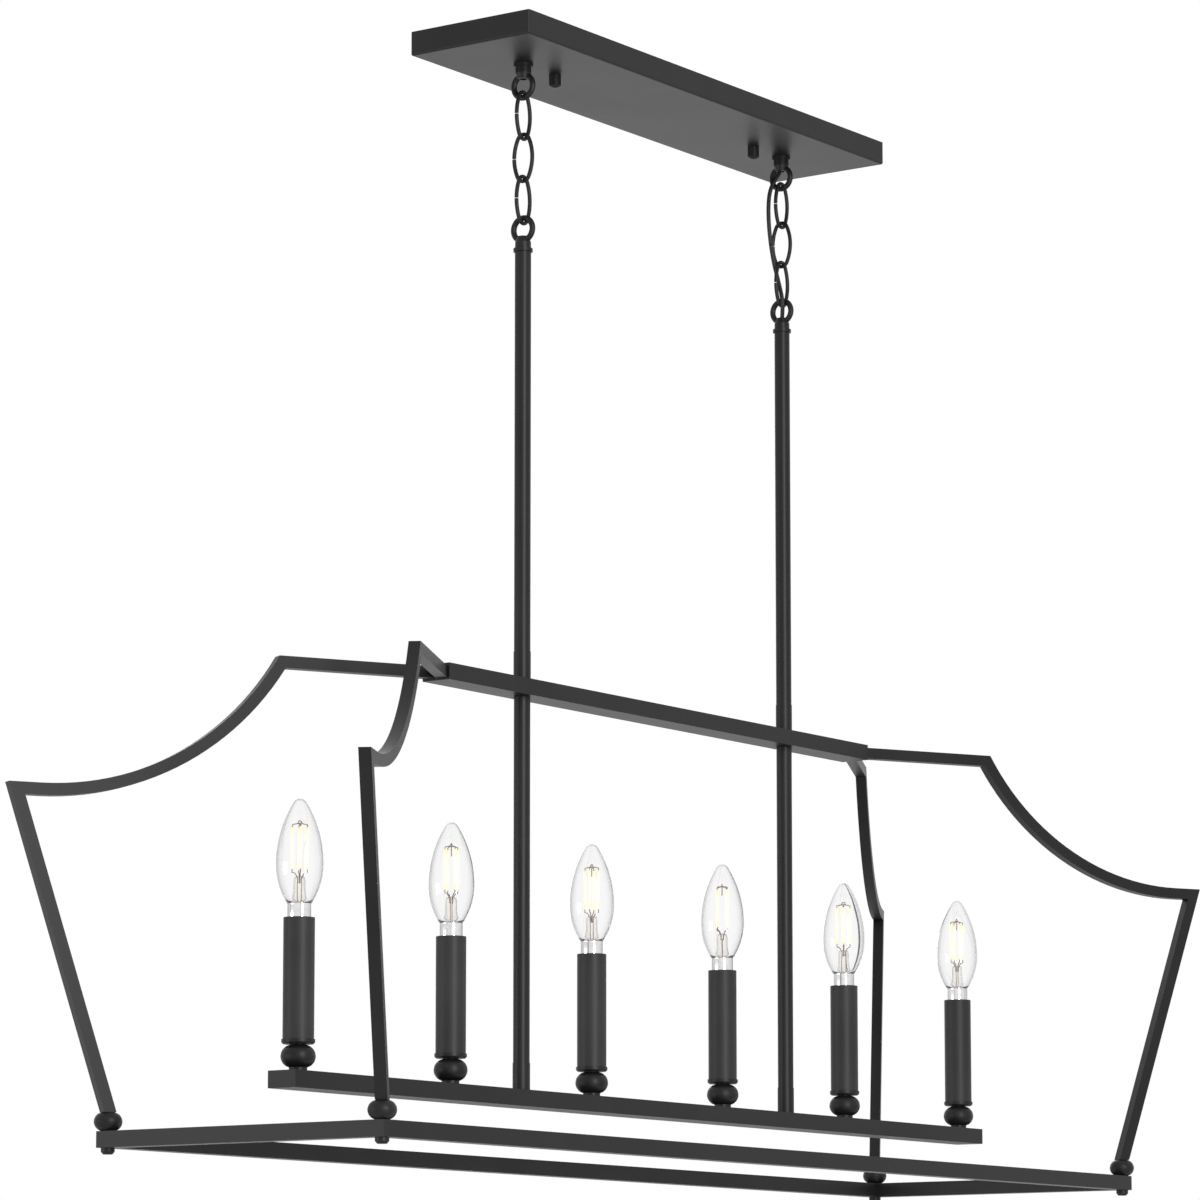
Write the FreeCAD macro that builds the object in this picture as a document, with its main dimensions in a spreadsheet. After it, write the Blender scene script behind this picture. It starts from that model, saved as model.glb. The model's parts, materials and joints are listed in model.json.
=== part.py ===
"""Linear island pendant: two chains and stems carry a ridge bar, four arms and a candle bar.

Millimetres. The origin is the middle of the canopy's top, on the ceiling. X runs along
the fixture, Z points up.
"""
import FreeCAD, Part
import math
import os

import Sketcher
from FreeCAD import Placement, Rotation, Vector

doc = FreeCAD.newDocument("IslandPendant")
# The driving dimensions
SIZES = {
    # Canopy and what fastens it to the ceiling box
    "canopy_length": 506,
    "canopy_width": 114,
    "canopy_height": 19,
    "canopy_wall": 1.2,
    "canopy_edge": 1.6,
    "strap_length": 304,
    "strap_width": 25,
    "strap_thickness": 2,
    "box_screw_spacing": 88.9,
    "box_screw_hole": 4.8,
    "stud_spacing": 281,
    "stud_diameter": 4,
    "stud_clearance": 0.3,
    "lock_nut_width": 8,
    "lock_nut_height": 3.2,
    "cap_nut_diameter": 9.5,
    "cap_nut_height": 10.4,
    "cap_nut_wall": 2.4,
    # Loops at both ends of each chain
    "hang_spacing": 365,
    "loop_flange_diameter": 15.2,
    "loop_flange_height": 2.6,
    "loop_neck_diameter": 12.5,
    "loop_crown_diameter": 9.2,
    "loop_rise": 18,
    "loop_bore": 6,
    "ring_wire": 4.6,
    "ring_opening": 13.4,
    "nipple_diameter": 9.6,
    "nipple_clearance": 0.2,
    "nipple_bore": 7,
    "loop_nipple_length": 11,
    "loop_nut_width": 14,
    "loop_nut_height": 4,
    # Chain
    "link_wire": 3.2,
    "link_opening": 34,
    "link_width": 20.6,
    "link_nose": 5.8,
    "link_slit": 0.9,
    "chain_play": 0.3,
    # Stems and bars
    "stem_diameter": 12.7,
    "stem_wall": 1.1,
    "upper_stem_length": 314.3,
    "coupler_diameter": 13.4,
    "upper_coupler_height": 22.5,
    "bar_depth": 25.4,
    "bar_height": 12.7,
    "bar_wall": 1.5,
    "ridge_length": 583,
    "middle_stem_length": 281.3,
    "lower_coupler_height": 21,
    "candle_bar_length": 942,
    "stem_nipple_reach": 9,
    # Arms and bottom frame
    "arm_bar": 9,
    "arm_root_inset": 9.2,
    "arm_set_down": 2,
    "arm_knee_reach": 135,
    "arm_valley_reach": 320,
    "arm_valley_drop": 105,
    "arm_tip_run": 24.5,
    "arm_height": 343,
    "frame_length": 1041,
    "frame_width": 262.3,
    "frame_tube": 12,
    "corner_bead_diameter": 20.8,
    "corner_bead_height": 13.7,
    "corner_bead_end": 9,
    "corner_stud": 5,
    "corner_nut_diameter": 10.1,
    "corner_nut_height": 4.7,
    # Candles and lamps
    "candle_pitch": 181,
    "candle_foot_diameter": 13.3,
    "candle_foot_height": 2.7,
    "candle_bead_diameter": 25.5,
    "candle_bead_height": 16.3,
    "candle_neck_diameter": 11.6,
    "candle_neck_height": 0.5,
    "cup_diameter": 24.5,
    "cup_height": 3.5,
    "cup_floor": 1.2,
    "sleeve_diameter": 22.8,
    "sleeve_wall": 1.2,
    "sleeve_length": 90,
    "sleeve_play": 0.2,
    "socket_diameter": 19.6,
    "socket_bore": 12.6,
    "socket_length": 64,
    "socket_well": 21,
    "collar_diameter": 17.2,
    "collar_height": 10.1,
    "collar_sink": 2.6,
    "lamp_thread_diameter": 11.8,
    "lamp_thread_length": 16,
    "lamp_contact_diameter": 5,
    "lamp_contact_height": 1.6,
    "glass_neck_diameter": 17.3,
    "glass_diameter": 35,
    "glass_height": 76.4,
    "glass_belly_height": 28.8,
    "glass_tip_radius": 3,
    "glass_wall": 0.8,
    "press_diameter": 7.7,
    "press_height": 22.4,
    "filament_diameter": 1.5,
    "filament_length": 33.6,
    "filament_circle": 11,
    "filament_count": 4,
    # Supply cord
    "cord_diameter": 3.5,
}
sheet = doc.addObject("Spreadsheet::Sheet", "Sizes")
for row, (alias, value) in enumerate(SIZES.items(), 1):
    sheet.set("A%d" % row, alias)
    sheet.set("B%d" % row, str(value))
    sheet.setAlias("B%d" % row, alias)
doc.recompute()


def expr(text):
    """Sheet names in a formula, written in full as @name."""
    return text.replace("@", "Sizes.")


def number(text):
    """What a formula comes to with the sheet's present numbers."""
    result = sheet.evalExpression(expr(text))
    return float(getattr(result, "Value", result))


# Heights that several pieces share, each as a formula of the sheet's sizes
RING_MEAN = "((@ring_opening + @ring_wire) / 2)"
HANG_X = "(@hang_spacing / 2)"
CEILING_PLATE = "(-@canopy_height)"
RING_SEAT = "(-@canopy_height - @loop_rise - @ring_opening / 2)"
LINK_PITCH = "(@link_opening - @chain_play)"
STEM_TOP = "(%s + 2 * @chain_play - @link_opening - 2 * %s - @ring_opening / 2 - @loop_rise)" % (
    RING_SEAT, LINK_PITCH)
RIDGE_TOP = "(%s - @upper_stem_length - @upper_coupler_height)" % STEM_TOP
RIDGE_FLOOR = "(%s - @bar_height)" % RIDGE_TOP
BAR_TOP = "(%s - @middle_stem_length - @lower_coupler_height)" % RIDGE_FLOOR
ARM_TOP = "(%s - @arm_set_down)" % RIDGE_TOP
BEAD_TOP = "(%s - @arm_height + @arm_set_down)" % ARM_TOP
FRAME_TOP = "(%s - @corner_bead_height)" % BEAD_TOP
FRAME_FLOOR = "(%s - @frame_tube)" % FRAME_TOP
CORNER_X = "((@frame_length - @frame_tube) / 2)"
CORNER_Y = "((@frame_width - @frame_tube) / 2)"
ARM_ROOT = "(@ridge_length / 2 - @arm_root_inset)"
ARM_ANGLE = "atan(%s / (%s - %s))" % (CORNER_Y, CORNER_X, ARM_ROOT)
ARM_FOOT = "sqrt((%s - %s) ^ 2 + %s ^ 2)" % (CORNER_X, ARM_ROOT, CORNER_Y)
NIPPLE_HOLE = "(@nipple_diameter + 2 * @nipple_clearance)"
STUD_HOLE = "(@stud_diameter + 2 * @stud_clearance)"


def new_body(label):
    made = doc.addObject("PartDesign::Body", label)
    made.Label = label
    return made


def place(piece, x="0", y="0", z="0", turn=None, axis=Vector(0, 0, 1)):
    """Puts a piece where its formulas say, turned about an axis through its own origin."""
    if turn is not None:
        piece.Placement = Placement(Vector(), Rotation(axis, 10))
        piece.setExpression("Placement.Rotation.Angle", expr(turn))
    for name, text in (("x", x), ("y", y), ("z", z)):
        piece.setExpression("Placement.Base." + name, expr(text))
    return piece


def sketch_on(body, role, raised=None, slid=None):
    """A sketch on one of the body's own planes, raised along its normal or slid up it."""
    made = body.newObject("Sketcher::SketchObject", body.Name + "_sketch")
    for plane in body.Origin.OriginFeatures:
        if plane.Role == role:
            made.AttachmentSupport = [(plane, "")]
    made.MapMode = "FlatFace"
    if raised:
        made.setExpression("AttachmentOffset.Base.z", expr(raised))
    if slid:
        made.setExpression("AttachmentOffset.Base.y", expr(slid))
    return made


def pin(sketch, kind, geometry, end, text):
    index = sketch.addConstraint(
        Sketcher.Constraint(kind, -1, 1, geometry, end, number(text)))
    sketch.setExpression("Constraints[%d]" % index, expr(text))


def draw(sketch, corners, closed=True):
    """Lines and arcs through corners (x, y) or (x, y, radius).

    A radius makes the step to the next corner an arc, to the left of its chord when positive.
    """
    spots = [Vector(number(c[0]), number(c[1]), 0) for c in corners]
    steps = len(corners) if closed else len(corners) - 1
    first = sketch.GeometryCount
    starts = []
    for k in range(steps):
        a, b = spots[k], spots[(k + 1) % len(spots)]
        if len(corners[k]) < 3:
            sketch.addGeometry(Part.LineSegment(a, b), False)
            starts.append((1, 2))
            continue
        radius = number(corners[k][2])
        chord = b - a
        left = Vector(-chord.y, chord.x, 0).normalize()
        rise = math.sqrt(radius * radius - chord.Length ** 2 / 4)
        centre = (a + b) / 2 - left * math.copysign(rise, radius)
        angles = [math.atan2(p.y - centre.y, p.x - centre.x) for p in (a, b)]
        if radius > 0:
            angles.reverse()
        circle = Part.Circle(centre, Vector(0, 0, 1), abs(radius))
        index = sketch.addGeometry(Part.ArcOfCircle(circle, *angles), False)
        starts.append((2, 1) if radius > 0 else (1, 2))
        size_index = sketch.addConstraint(Sketcher.Constraint("Radius", index, abs(radius)))
        sketch.setExpression("Constraints[%d]" % size_index, expr("abs(%s)" % corners[k][2]))
    for k in range(steps):
        pin(sketch, "DistanceX", first + k, starts[k][0], corners[k][0])
        pin(sketch, "DistanceY", first + k, starts[k][0], corners[k][1])
        if k + 1 < steps:
            sketch.addConstraint(Sketcher.Constraint(
                "Coincident", first + k, starts[k][1], first + k + 1, starts[k + 1][0]))
    if closed:
        sketch.addConstraint(Sketcher.Constraint(
            "Coincident", first + steps - 1, starts[-1][1], first, starts[0][0]))
    else:
        pin(sketch, "DistanceX", first + steps - 1, starts[-1][1], corners[-1][0])
        pin(sketch, "DistanceY", first + steps - 1, starts[-1][1], corners[-1][1])


def ring(sketch, x, y, diameter):
    index = sketch.addGeometry(
        Part.Circle(Vector(number(x), number(y), 0), Vector(0, 0, 1), number(diameter) / 2), False)
    pin(sketch, "DistanceX", index, 3, x)
    pin(sketch, "DistanceY", index, 3, y)
    size_index = sketch.addConstraint(Sketcher.Constraint("Diameter", index, number(diameter)))
    sketch.setExpression("Constraints[%d]" % size_index, expr(diameter))


def box_outline(sketch, width, depth, x="0", y="0"):
    half_w, half_d = "(%s) / 2" % width, "(%s) / 2" % depth
    draw(sketch, [("%s - %s" % (x, half_w), "%s - %s" % (y, half_d)),
                  ("%s + %s" % (x, half_w), "%s - %s" % (y, half_d)),
                  ("%s + %s" % (x, half_w), "%s + %s" % (y, half_d)),
                  ("%s - %s" % (x, half_w), "%s + %s" % (y, half_d))])


def pad(body, sketch, length, reverse=False, centred=False):
    made = body.newObject("PartDesign::Pad", body.Name + "_pad")
    made.Profile = sketch
    made.setExpression("Length", expr(length))
    made.Reversed = reverse
    made.Midplane = centred
    return made


def pocket(body, sketch, length, upward=False, centred=False):
    """Cuts down from its sketch, or upward when asked."""
    made = body.newObject("PartDesign::Pocket", body.Name + "_pocket")
    made.Profile = sketch
    made.setExpression("Length", expr(length))
    made.Reversed = upward
    made.Midplane = centred
    return made


def turned(body, corners, name="_turned"):
    """A solid of revolution about Z from a half section (radius, height)."""
    section = sketch_on(body, "XZ_Plane")
    draw(section, corners)
    made = body.newObject("PartDesign::Revolution", body.Name + name)
    made.Profile = section
    made.ReferenceAxis = (section, ["V_Axis"])
    made.Angle = 360.0
    return made


def bead(diameter, height, low_end, high_end):
    """Half section corners of a flattened ball standing on height 0, its side one arc."""
    reach = "(%s / 2 - %s / 2)" % (diameter, low_end)
    bulge = "((%s ^ 2 + (%s / 2) ^ 2) / (2 * %s))" % (reach, height, reach)
    reach_up = "(%s / 2 - %s / 2)" % (diameter, high_end)
    bulge_up = "((%s ^ 2 + (%s / 2) ^ 2) / (2 * %s))" % (reach_up, height, reach_up)
    return [("%s / 2" % low_end, "0", "-%s" % bulge),
            ("%s / 2" % diameter, "%s / 2" % height, "-%s" % bulge_up),
            ("%s / 2" % high_end, height)]


def repeated(label, master, places):
    """One node of several alike solids: the master piece and linked copies of it."""
    copies = []
    for x, y, z in places:
        copy = doc.addObject("App::Link", label + "_copy")
        copy.LinkedObject = master
        copy.LinkTransform = False
        copies.append(place(copy, x, y, z))
    made = doc.addObject("Part::Compound", label)
    made.Label = label
    made.Links = copies
    return made


nodes = []
PAIR = (("left", "-"), ("right", ""))

# Canopy: a shallow folded pan, open to the ceiling, with holes for loops and cap nuts
canopy = new_body("canopy")
plan = sketch_on(canopy, "XY_Plane")
box_outline(plan, "@canopy_length", "@canopy_width")
pan = pad(canopy, plan, "@canopy_height", reverse=True)
doc.recompute()
low_edges = []
for index, edge in enumerate(pan.Shape.Edges):
    middle = edge.BoundBox.Center
    if middle.z < -1:
        low_edges.append("Edge%d" % (index + 1))
soften = canopy.newObject("PartDesign::Fillet", "canopy_edges")
soften.Base = (pan, low_edges)
soften.setExpression("Radius", expr("@canopy_edge"))
inside = sketch_on(canopy, "XY_Plane")
box_outline(inside, "@canopy_length - 2 * @canopy_wall", "@canopy_width - 2 * @canopy_wall")
pocket(canopy, inside, "@canopy_height - @canopy_wall")
holes = sketch_on(canopy, "XY_Plane")
for side, sign in PAIR:
    ring(holes, sign + HANG_X, "0", NIPPLE_HOLE)
    ring(holes, sign + "@stud_spacing / 2", "0", STUD_HOLE)
pocket(canopy, holes, "@canopy_height + 1")
nodes.append(place(canopy))

# Mounting strap against the ceiling box, with slots' worth of round holes for its screws
strap = new_body("mounting_strap")
plan = sketch_on(strap, "XY_Plane")
box_outline(plan, "@strap_length", "@strap_width")
for side, sign in PAIR:
    ring(plan, sign + "@box_screw_spacing / 2", "0", "@box_screw_hole")
    ring(plan, sign + "@stud_spacing / 2", "0", STUD_HOLE)
pad(strap, plan, "@strap_thickness", reverse=True)
nodes.append(place(strap))

# Studs with a lock nut under the strap; they reach down into the cap nuts
STUD_END = "(@canopy_height + @cap_nut_height - @cap_nut_wall - @stud_clearance)"
stud = new_body("stud")
turned(stud, [("0", "0"), ("0", "-" + STUD_END), ("@stud_diameter / 2", "-" + STUD_END),
              ("@stud_diameter / 2", "-@strap_thickness - @lock_nut_height"),
              ("@lock_nut_width / 2", "-@strap_thickness - @lock_nut_height"),
              ("@lock_nut_width / 2", "-@strap_thickness"),
              ("@stud_diameter / 2", "-@strap_thickness"), ("@stud_diameter / 2", "0")])
nodes.append(repeated("mounting_studs", stud, [
    (sign + "@stud_spacing / 2", "0", "0") for side, sign in PAIR]))

# Cap nuts that hold the canopy up: a blind bore, a straight side and a domed end
for side, sign in PAIR:
    nut = new_body("cap_nut_" + side)
    radius = "@cap_nut_diameter / 2"
    dome = "@cap_nut_diameter * 0.7"
    turned(nut, [(STUD_HOLE + " / 2", "0"),
                 (STUD_HOLE + " / 2", "@cap_nut_wall - @cap_nut_height"),
                 ("0", "@cap_nut_wall - @cap_nut_height"), ("0", "-@cap_nut_height", "-" + dome),
                 (radius, "@cap_nut_diameter * 0.21 - @cap_nut_height"), (radius, "0")])
    nodes.append(place(nut, sign + "@stud_spacing / 2", "0", CEILING_PLATE))


def hanging_loop(label):
    """A cast ring on a flanged, bored neck with a threaded nipple below its seat at height 0."""
    loop = new_body(label)
    crown = "(@loop_rise - @ring_opening / 2 + 0.9)"
    turned(loop, [("0", "-@loop_nipple_length"), ("@nipple_diameter / 2", "-@loop_nipple_length"),
                  ("@nipple_diameter / 2", "0"), ("@loop_flange_diameter / 2", "0"),
                  ("@loop_flange_diameter / 2", "@loop_flange_height"),
                  ("@loop_neck_diameter / 2", "@loop_flange_height"),
                  ("@loop_neck_diameter / 2", crown + " * 0.62"),
                  ("@loop_crown_diameter / 2", crown), ("0", crown)])
    wire = sketch_on(loop, "XZ_Plane", slid="@loop_rise")
    ring(wire, "0", RING_MEAN, "@ring_wire")
    eye = loop.newObject("PartDesign::Revolution", label + "_eye")
    eye.Profile = wire
    eye.ReferenceAxis = (wire, ["H_Axis"])
    eye.Angle = 360.0
    bore = sketch_on(loop, "XY_Plane", raised="-@loop_nipple_length")
    ring(bore, "0", "0", "@loop_bore")
    pocket(loop, bore, "@loop_nipple_length + " + crown, upward=True)
    return loop


# Loops: hung from the canopy plate, and standing on each stem
for side, sign in PAIR:
    hung = hanging_loop("canopy_loop_" + side)
    nodes.append(place(hung, sign + HANG_X, "0", CEILING_PLATE, "180", Vector(1, 0, 0)))
for side, sign in PAIR:
    nodes.append(place(hanging_loop("stem_loop_" + side), sign + HANG_X, "0", STEM_TOP))

# Nuts on the canopy loops' nipples, inside the pan
nut = new_body("loop_nut")
turned(nut, [(NIPPLE_HOLE + " / 2", "0"), ("@loop_nut_width / 2", "0"),
             ("@loop_nut_width / 2", "@loop_nut_height"), (NIPPLE_HOLE + " / 2", "@loop_nut_height")])
nodes.append(repeated("loop_nuts", nut, [
    (sign + HANG_X, "0", "@canopy_wall - @canopy_height") for side, sign in PAIR]))

# Chain links: oval bent wire, butted at a slit half way down one side, each hung in the last.
# The wire's line is two wide side arcs that run smoothly into two nose arcs.
LINK_REACH = "((@link_width - @link_wire) / 2)"
LINK_HALF = "((@link_opening + @link_wire) / 2)"
SIDE_ARC = "((%s ^ 2 + %s ^ 2 - 2 * %s * @link_nose) / (2 * (%s - @link_nose)))" % (
    LINK_REACH, LINK_HALF, LINK_HALF, LINK_REACH)
TURN_X = "(@link_nose * (%s - %s) / (%s - @link_nose))" % (SIDE_ARC, LINK_REACH, SIDE_ARC)
TURN_Z = "(%s - @link_nose + @link_nose * (%s - @link_nose) / (%s - @link_nose))" % (
    LINK_HALF, LINK_HALF, SIDE_ARC)
SIDE_END = "(%s - %s + sqrt(%s ^ 2 - (@link_slit / 2) ^ 2))" % (LINK_REACH, SIDE_ARC, SIDE_ARC)
for side, sign in PAIR:
    for count in range(3):
        link = new_body("%s_link_%d" % (side, count + 1))
        route = sketch_on(link, "XZ_Plane")
        draw(route, [("-" + SIDE_END, "@link_slit / 2", SIDE_ARC), ("-" + TURN_X, TURN_Z, "@link_nose"),
                     ("0", LINK_HALF, "@link_nose"), (TURN_X, TURN_Z, SIDE_ARC),
                     (TURN_X, "-" + TURN_Z, "@link_nose"), ("0", "-" + LINK_HALF, "@link_nose"),
                     ("-" + TURN_X, "-" + TURN_Z, SIDE_ARC), ("-" + SIDE_END, "-@link_slit / 2")],
             closed=False)
        wire = sketch_on(link, "XY_Plane", raised="@link_slit / 2")
        ring(wire, "-" + SIDE_END, "0", "@link_wire")
        bent = link.newObject("PartDesign::AdditivePipe", link.Name + "_wire")
        bent.Profile = wire
        bent.Spine = (route, ["Edge%d" % (k + 1) for k in range(7)])
        middle = "%s + @chain_play - @link_opening / 2 - %d * %s" % (RING_SEAT, count, LINK_PITCH)
        nodes.append(place(link, sign + HANG_X, "0", middle, "-90" if count == 1 else "0"))

# Upper and middle stems: round tube
for name, length, top in (("upper_stem", "@upper_stem_length", STEM_TOP),
                          ("middle_stem", "@middle_stem_length", RIDGE_FLOOR)):
    for side, sign in PAIR:
        stem = new_body("%s_%s" % (name, side))
        section = sketch_on(stem, "XY_Plane")
        ring(section, "0", "0", "@stem_diameter")
        ring(section, "0", "0", "@stem_diameter - 2 * @stem_wall")
        pad(stem, section, length, reverse=True)
        nodes.append(place(stem, sign + HANG_X, "0", top))

# Couplers where the stems meet the ridge bar and the candle bar
couplers = []
for name, length in (("upper_coupler", "@upper_coupler_height"),
                     ("lower_coupler", "@lower_coupler_height")):
    sleeve = new_body(name)
    section = sketch_on(sleeve, "XY_Plane")
    ring(section, "0", "0", "@coupler_diameter")
    ring(section, "0", "0", NIPPLE_HOLE)
    pad(sleeve, section, length)
    couplers.append(sleeve)
group = []
for sleeve, foot in zip(couplers, (RIDGE_TOP, BAR_TOP)):
    group.append(repeated(sleeve.Name + "s", sleeve, [
        (sign + HANG_X, "0", foot) for side, sign in PAIR]))
pairs = doc.addObject("Part::Compound", "stem_couplers")
pairs.Label = "stem_couplers"
pairs.Links = group
nodes.append(pairs)

# Threaded nipples inside the joints, through the ridge bar and into the candle bar
LONG_REACH = "(@bar_height + 2 * @stem_nipple_reach + @upper_coupler_height)"
SHORT_REACH = "(@lower_coupler_height + @stem_nipple_reach + @bar_wall + 5)"
group = []
for name, length, top in (("long_nipple", LONG_REACH,
                           "%s + @upper_coupler_height + @stem_nipple_reach" % RIDGE_TOP),
                          ("short_nipple", SHORT_REACH,
                           "%s + @lower_coupler_height + @stem_nipple_reach" % BAR_TOP)):
    tube = new_body(name)
    section = sketch_on(tube, "XY_Plane")
    ring(section, "0", "0", "@nipple_diameter")
    ring(section, "0", "0", "@nipple_bore")
    pad(tube, section, length, reverse=True)
    group.append(repeated(name + "s", tube, [(sign + HANG_X, "0", top) for side, sign in PAIR]))
pairs = doc.addObject("Part::Compound", "stem_nipples")
pairs.Label = "stem_nipples"
pairs.Links = group
nodes.append(pairs)


def bar(label, length, top, through):
    """A rectangular tube with closed ends and drilled holes along its middle line."""
    made = new_body(label)
    plan = sketch_on(made, "XY_Plane")
    box_outline(plan, length, "@bar_depth")
    pad(made, plan, "@bar_height", reverse=True)
    hollow = sketch_on(made, "XY_Plane", raised="-@bar_height / 2")
    box_outline(hollow, "%s - 2 * @bar_wall" % length, "@bar_depth - 2 * @bar_wall")
    pocket(made, hollow, "@bar_height - 2 * @bar_wall", centred=True)
    drill = sketch_on(made, "XY_Plane")
    for x in through:
        ring(drill, x, "0", NIPPLE_HOLE)
    pocket(made, drill, "@bar_height + 1" if label == "ridge_bar" else "@bar_wall + 1")
    return place(made, "0", "0", top)


CANDLES = ["%.1f * @candle_pitch" % (k - 2.5) for k in range(6)]
nodes.append(bar("ridge_bar", "@ridge_length", RIDGE_TOP, ["-" + HANG_X, HANG_X]))
nodes.append(bar("candle_bar", "@candle_bar_length", BAR_TOP, ["-" + HANG_X, HANG_X] + CANDLES))

# Arms: square bar in an upright plane, from the ridge's end, over a knee, down a sagging
# curve, out to a tip and back inwards to a frame corner
VALLEY = "(-@arm_valley_drop)"
RUN = "(@arm_valley_reach - @arm_knee_reach)"
SAG = "((%s ^ 2 + @arm_valley_drop ^ 2) / (2 * @arm_valley_drop))" % RUN
SAG_LOW = "(%s + @arm_bar)" % SAG
LEG_DROP = "(@arm_height - @arm_set_down - @arm_valley_drop)"
TIP = "(@arm_valley_reach + @arm_tip_run)"
LEAN = "atan((%s - %s - @arm_bar / 2) / %s)" % (TIP, ARM_FOOT, LEG_DROP)
FOOT_OUT = "(%s + @arm_bar / 2 / cos(%s))" % (ARM_FOOT, LEAN)
LEG_LEAN = "atan((%s - %s) / %s)" % (TIP, FOOT_OUT, LEG_DROP)
FOOT_IN = "(%s - @arm_bar / cos(%s))" % (FOOT_OUT, LEG_LEAN)
FOOT = "(-@arm_valley_drop - %s)" % LEG_DROP
KNEE_IN = "(@arm_valley_reach - sqrt(%s ^ 2 - (%s - @arm_valley_drop + @arm_bar) ^ 2))" % (
    SAG_LOW, SAG)
TIP_IN = "(%s - @arm_bar * tan(%s) - @arm_bar / cos(%s))" % (TIP, LEG_LEAN, LEG_LEAN)
for end, along in (("left", -1), ("right", 1)):
    for face, across in (("front", -1), ("back", 1)):
        arm = new_body("arm_%s_%s" % (end, face))
        upright = sketch_on(arm, "XZ_Plane")
        draw(upright, [("0", "0"), ("@arm_knee_reach", "0", "-" + SAG),
                       ("@arm_valley_reach", VALLEY), (TIP, VALLEY),
                       (FOOT_OUT, FOOT), (FOOT_IN, FOOT), (TIP_IN, VALLEY + " - @arm_bar"),
                       ("@arm_valley_reach", VALLEY + " - @arm_bar", SAG_LOW),
                       (KNEE_IN, "-@arm_bar"), ("0", "-@arm_bar")])
        pad(arm, upright, "@arm_bar", centred=True)
        # its root is mitred flat to the ridge's end and to the arm beside it
        turn = 1 if along * across > 0 else -1
        reach = "@arm_root_inset"
        mitre = sketch_on(arm, "XY_Plane", raised="1")
        spots = []
        for gx, gy in (("0", "20"), ("0", "0.05"), ("40", "0.05"), ("40", "-30"),
                       ("-30", "-30"), ("-30", "20")):
            far = "(%s + %s)" % (reach, gx)
            spots.append(("%s * cos(%s) + %s * sin(%s)" % (far, ARM_ANGLE, gy, ARM_ANGLE),
                          "%d * (%s * cos(%s) - %s * sin(%s))" % (
                              turn, gy, ARM_ANGLE, far, ARM_ANGLE)))
        draw(mitre, spots)
        pocket(arm, mitre, "@arm_bar + 2")
        heading = "%s%s" % ("" if across > 0 else "-", ARM_ANGLE)
        if along < 0:
            heading = "180 deg %s %s" % ("-" if across > 0 else "+", ARM_ANGLE)
        nodes.append(place(arm, "%d * %s" % (along, ARM_ROOT), "0", ARM_TOP, heading))

CORNERS = [("%d * %s" % (a, CORNER_X), "%d * %s" % (b, CORNER_Y)) for a in (-1, 1) for b in (-1, 1)]
STUD_FIT = "(@corner_stud + 2 * @stud_clearance)"

# Flattened balls between the arms' feet and the frame's corners
ball = new_body("corner_bead")
turned(ball, [(STUD_FIT + " / 2", "0")]
       + bead("@corner_bead_diameter", "@corner_bead_height", "@corner_bead_end",
              "@corner_bead_end") + [(STUD_FIT + " / 2", "@corner_bead_height")])
nodes.append(repeated("corner_beads", ball, [(x, y, FRAME_TOP) for x, y in CORNERS]))

# Studs up through each corner, with a low round nut below
peg = new_body("corner_peg")
turned(peg, [("0", "-@corner_nut_height"),
             ("@corner_nut_diameter * 0.34", "-@corner_nut_height"),
             ("@corner_nut_diameter / 2", "-@corner_nut_height * 0.6"),
             ("@corner_nut_diameter / 2", "0"), ("@corner_stud / 2", "0"),
             ("@corner_stud / 2", "@frame_tube + @corner_bead_height"),
             ("0", "@frame_tube + @corner_bead_height")])
nodes.append(repeated("corner_nuts", peg, [(x, y, FRAME_FLOOR) for x, y in CORNERS]))

# Bottom frame: four square tubes mitred and welded into one rectangle
frame = new_body("bottom_frame")
plan = sketch_on(frame, "XY_Plane")
box_outline(plan, "@frame_length", "@frame_width")
box_outline(plan, "@frame_length - 2 * @frame_tube", "@frame_width - 2 * @frame_tube")
for x, y in CORNERS:
    ring(plan, x, y, STUD_FIT)
pad(frame, plan, "@frame_tube", reverse=True)
nodes.append(place(frame, "0", "0", FRAME_TOP))

# Candle holders: a turned ball on a foot, a shallow cup, both held by a nipple
CUP_SEAT = "(@candle_foot_height + @candle_bead_height + @candle_neck_height)"
FIT = NIPPLE_HOLE + " / 2"
knob = new_body("candle_bead")
lifted = [(c[0], "@candle_foot_height + " + c[1]) + c[2:] for c in bead(
    "@candle_bead_diameter", "@candle_bead_height", "@candle_foot_diameter",
    "@candle_neck_diameter")]
turned(knob, [(FIT, "0"), ("@candle_foot_diameter / 2", "0")] + lifted
       + [("@candle_neck_diameter / 2", CUP_SEAT), (FIT, CUP_SEAT)])
nodes.append(repeated("candle_beads", knob, [(x, "0", BAR_TOP) for x in CANDLES]))

dish = new_body("cup")
turned(dish, [(FIT, "0"), ("@cup_diameter / 2 - 1.2", "0"), ("@cup_diameter / 2", "1.2"),
              ("@cup_diameter / 2", "@cup_height"),
              ("@sleeve_diameter / 2 + @sleeve_play", "@cup_height"),
              ("@sleeve_diameter / 2 + @sleeve_play", "@cup_floor"), (FIT, "@cup_floor")])
nodes.append(repeated("candle_cups", dish, [
    (x, "0", "%s + %s" % (BAR_TOP, CUP_SEAT)) for x in CANDLES]))

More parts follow.
